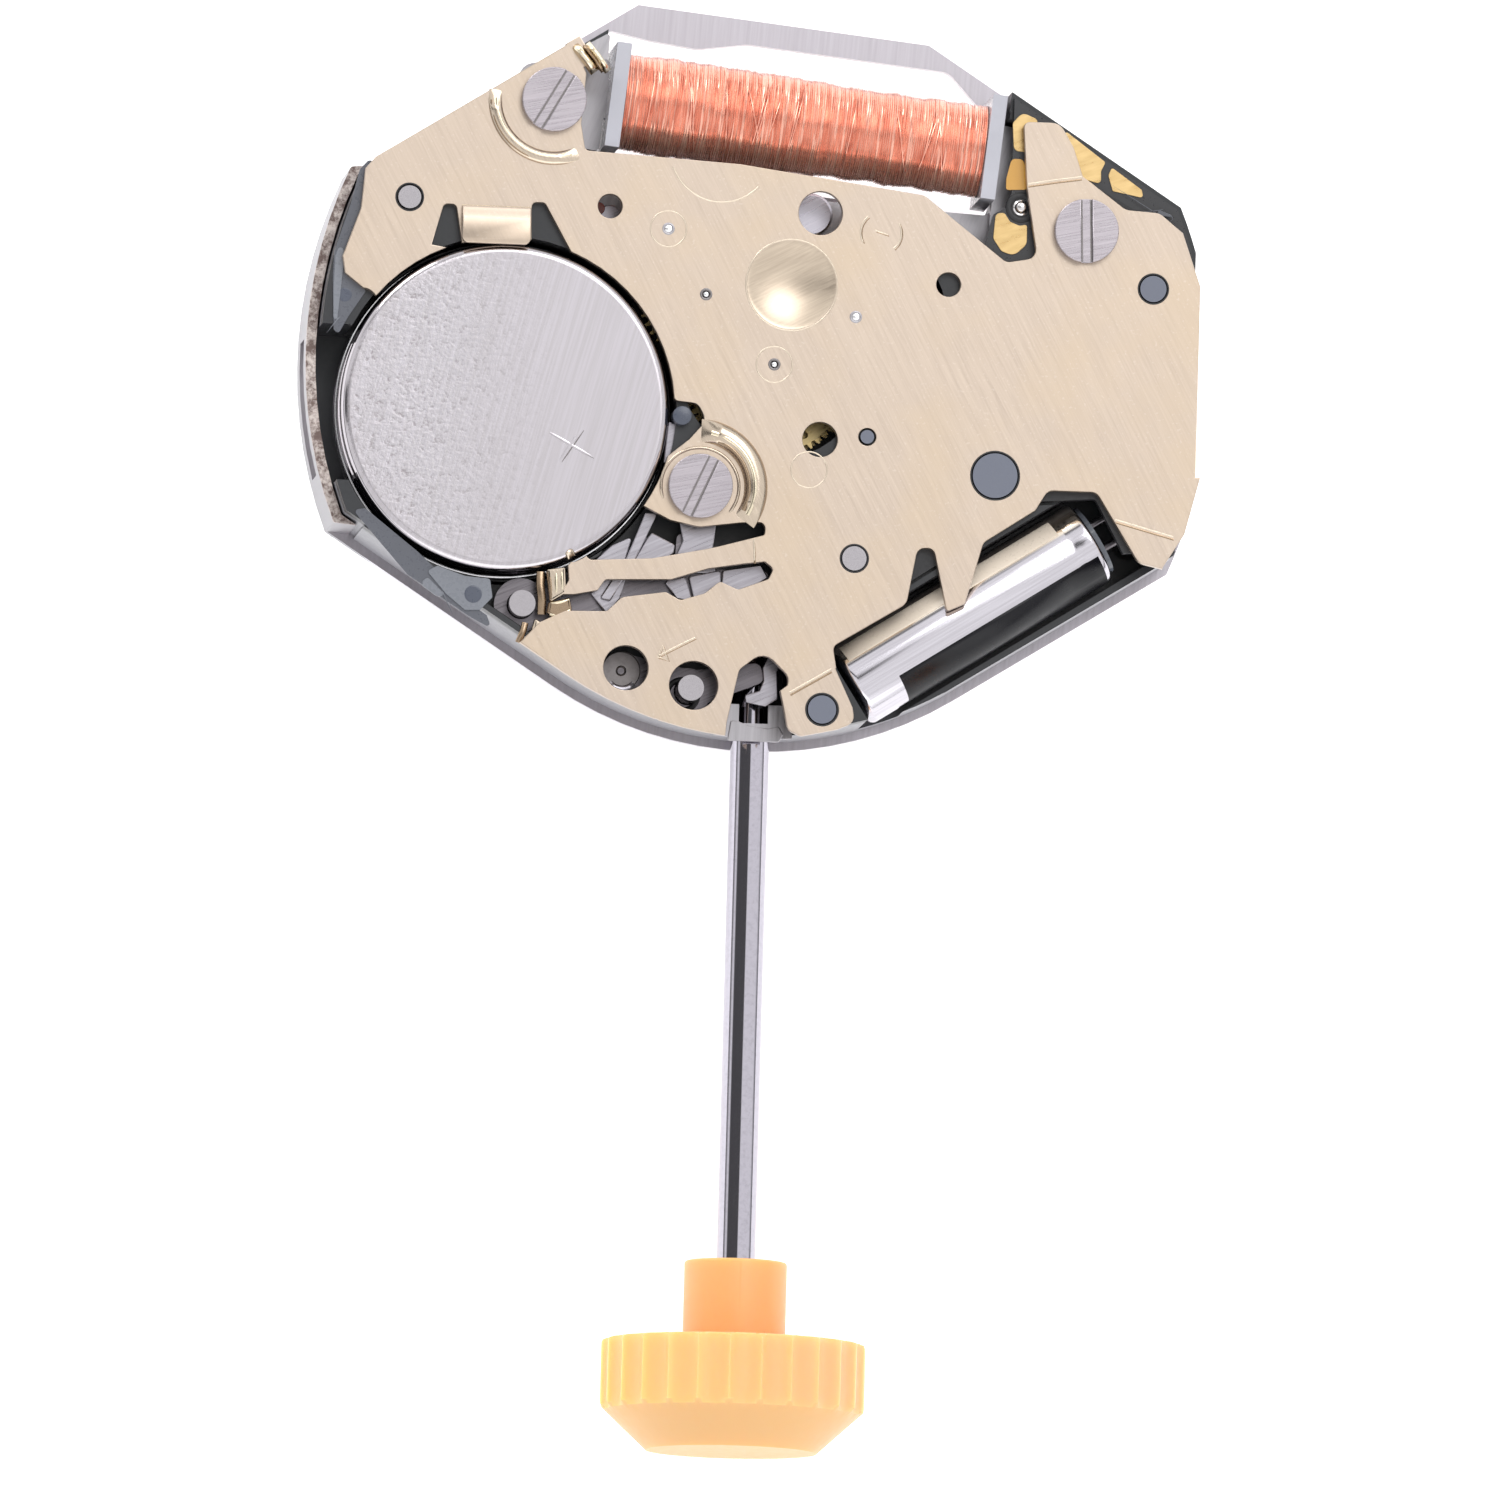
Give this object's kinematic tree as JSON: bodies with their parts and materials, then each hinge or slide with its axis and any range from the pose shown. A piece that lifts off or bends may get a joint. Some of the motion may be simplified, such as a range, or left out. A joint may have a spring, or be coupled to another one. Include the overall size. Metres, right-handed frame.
{
  "type": "quartz watch movement",
  "caption": "Analogue quartz watch movement with cell, coil, quartz can, gear train, hand seats and a setting stem with fluted knob.",
  "frame": {"origin": "where the hand axis meets the face that the dial lies on", "axes": "+Z from the dial seat to the battery side, the hands turn about Z, the stem leaves along -Y, +X to the right when the battery side faces the viewer and the stem points down"},
  "size_m": [0.0183, 0.0298, 0.0059],
  "materials": {
    "smoked_plastic": "satin, slightly see-through at thin edges",
    "sheet_steel": "fine brushed",
    "gilt_sheet": "fine diagonal brushing",
    "cell_steel": "satin with a bright rim",
    "seal": "matte",
    "black_film": "matte",
    "board": "dark mask with gilt tracks",
    "chip": "gloss",
    "bright_can": "polished",
    "header_glass": "dark glass",
    "clear_plastic": "translucent",
    "copper": "enamelled copper wire",
    "core_alloy": "rolled",
    "magnet": "satin",
    "brass_wheels": "fine turned",
    "hard_steel": "polished",
    "knob_plastic": "translucent orange"
  },
  "bodies": {
    "movement": {"main_plate": "smoked_plastic", "dial_plate": "sheet_steel", "cover_plate": "gilt_sheet", "battery_can": "cell_steel", "battery_cap": "cell_steel", "battery_gasket": "seal", "battery_liner": "black_film", "minus_contact": "gilt_sheet", "circuit_board": "board", "circuit_chip": "chip", "board_insulator": "black_film", "crystal_can": "bright_can", "crystal_header": "header_glass", "crystal_leads": "bright_can", "coil_bobbin": "clear_plastic", "coil_winding": "copper", "coil_core": "core_alloy", "stator": "core_alloy", "stem_cover": "sheet_steel", "lever_spring": "sheet_steel", "lever_pins": "hard_steel", "guide_pins": "hard_steel", "screw_bushes": "brass_wheels", "plate_screws": "hard_steel"},
    "rotor": {"rotor_magnet": "magnet", "rotor_pinion": "brass_wheels"},
    "fifth": {"fifth_wheel": "brass_wheels", "fifth_pinion": "hard_steel"},
    "second": {"second_wheel": "brass_wheels", "second_arbor": "hard_steel"},
    "third": {"third_wheel": "brass_wheels", "third_pinion": "hard_steel"},
    "centre": {"centre_wheel": "brass_wheels"},
    "cannon": {"cannon_pinion": "hard_steel"},
    "minute": {"minute_wheel": "brass_wheels", "minute_pinion": "hard_steel"},
    "hour": {"hour_wheel": "brass_wheels"},
    "setting": {"setting_wheel": "brass_wheels"},
    "clutch": {"clutch_wheel": "hard_steel"},
    "stem": {"stem": "hard_steel", "stem_knob": "knob_plastic"},
    "setting_lever": {"setting_lever": "sheet_steel"},
    "yoke": {"yoke": "sheet_steel"},
    "reset_lever": {"reset_lever": "sheet_steel"}
  },
  "joints": [
    {"name": "second_hand_spin", "type": "hinge", "parent": "movement", "child": "second", "pos_m": [0, 0, 0], "axis": [0, 0, 1], "continuous": true},
    {"name": "rotor_spin", "type": "hinge", "parent": "movement", "child": "rotor", "pos_m": [-0.00225, 0.00271, 0], "axis": [0, 0, 1], "continuous": true},
    {"name": "fifth_spin", "type": "hinge", "parent": "movement", "child": "fifth", "pos_m": [-0.00144, 0.00139, 0], "axis": [0, 0, 1], "continuous": true},
    {"name": "third_spin", "type": "hinge", "parent": "movement", "child": "third", "pos_m": [0.00165, 0.00104, 0], "axis": [0, 0, 1], "continuous": true},
    {"name": "centre_spin", "type": "hinge", "parent": "movement", "child": "centre", "pos_m": [0, 0, 0], "axis": [0, 0, 1], "continuous": true},
    {"name": "minute_wheel_spin", "type": "hinge", "parent": "movement", "child": "minute", "pos_m": [0.00074, -0.00203, 0], "axis": [0, 0, 1], "continuous": true},
    {"name": "cannon_spin", "type": "hinge", "parent": "movement", "child": "cannon", "pos_m": [0, 0, 0], "axis": [0, 0, 1], "continuous": true},
    {"name": "hour_spin", "type": "hinge", "parent": "movement", "child": "hour", "pos_m": [0, 0, 0], "axis": [0, 0, 1], "continuous": true},
    {"name": "setting_wheel_spin", "type": "hinge", "parent": "movement", "child": "setting", "pos_m": [-0.00013, -0.00411, 0], "axis": [0, 0, 1], "continuous": true},
    {"name": "stem_spin", "type": "hinge", "parent": "movement", "child": "clutch", "pos_m": [-0.00013, -0.005, 0.00125], "axis": [0, 1, 0], "continuous": true},
    {"name": "stem_pull", "type": "slide", "parent": "clutch", "child": "stem", "axis": [0, -1, 0], "range_m": [0, 0.0008]},
    {"name": "setting_lever_turn", "type": "hinge", "parent": "movement", "child": "setting_lever", "pos_m": [-0.00152, -0.0067, 0.002], "axis": [0, 0, -1], "range_deg": [0, 33]},
    {"name": "yoke_turn", "type": "hinge", "parent": "movement", "child": "yoke", "pos_m": [0.001, -0.00515, 0.002], "axis": [0, 0, -1], "range_deg": [0, 7.65]},
    {"name": "reset_lever_turn", "type": "hinge", "parent": "movement", "child": "reset_lever", "pos_m": [-0.00502, -0.00508, 0.0023], "axis": [0, 0, 1], "range_deg": [0, 2.52]}
  ],
  "couplings": [
    {"joint": "fifth_spin", "follows": "second_hand_spin", "ratio": -7.5},
    {"joint": "rotor_spin", "follows": "second_hand_spin", "ratio": 30},
    {"joint": "third_spin", "follows": "second_hand_spin", "ratio": -0.13333},
    {"joint": "centre_spin", "follows": "second_hand_spin", "ratio": 0.016667},
    {"joint": "cannon_spin", "follows": "minute_wheel_spin", "ratio": -3},
    {"joint": "hour_spin", "follows": "minute_wheel_spin", "ratio": -0.25},
    {"joint": "setting_wheel_spin", "follows": "minute_wheel_spin", "ratio": -2.5714},
    {"joint": "setting_lever_turn", "follows": "stem_pull", "rad_per_m": 719.4},
    {"joint": "yoke_turn", "follows": "stem_pull", "rad_per_m": 165.9},
    {"joint": "reset_lever_turn", "follows": "stem_pull", "rad_per_m": 54.5}
  ]
}
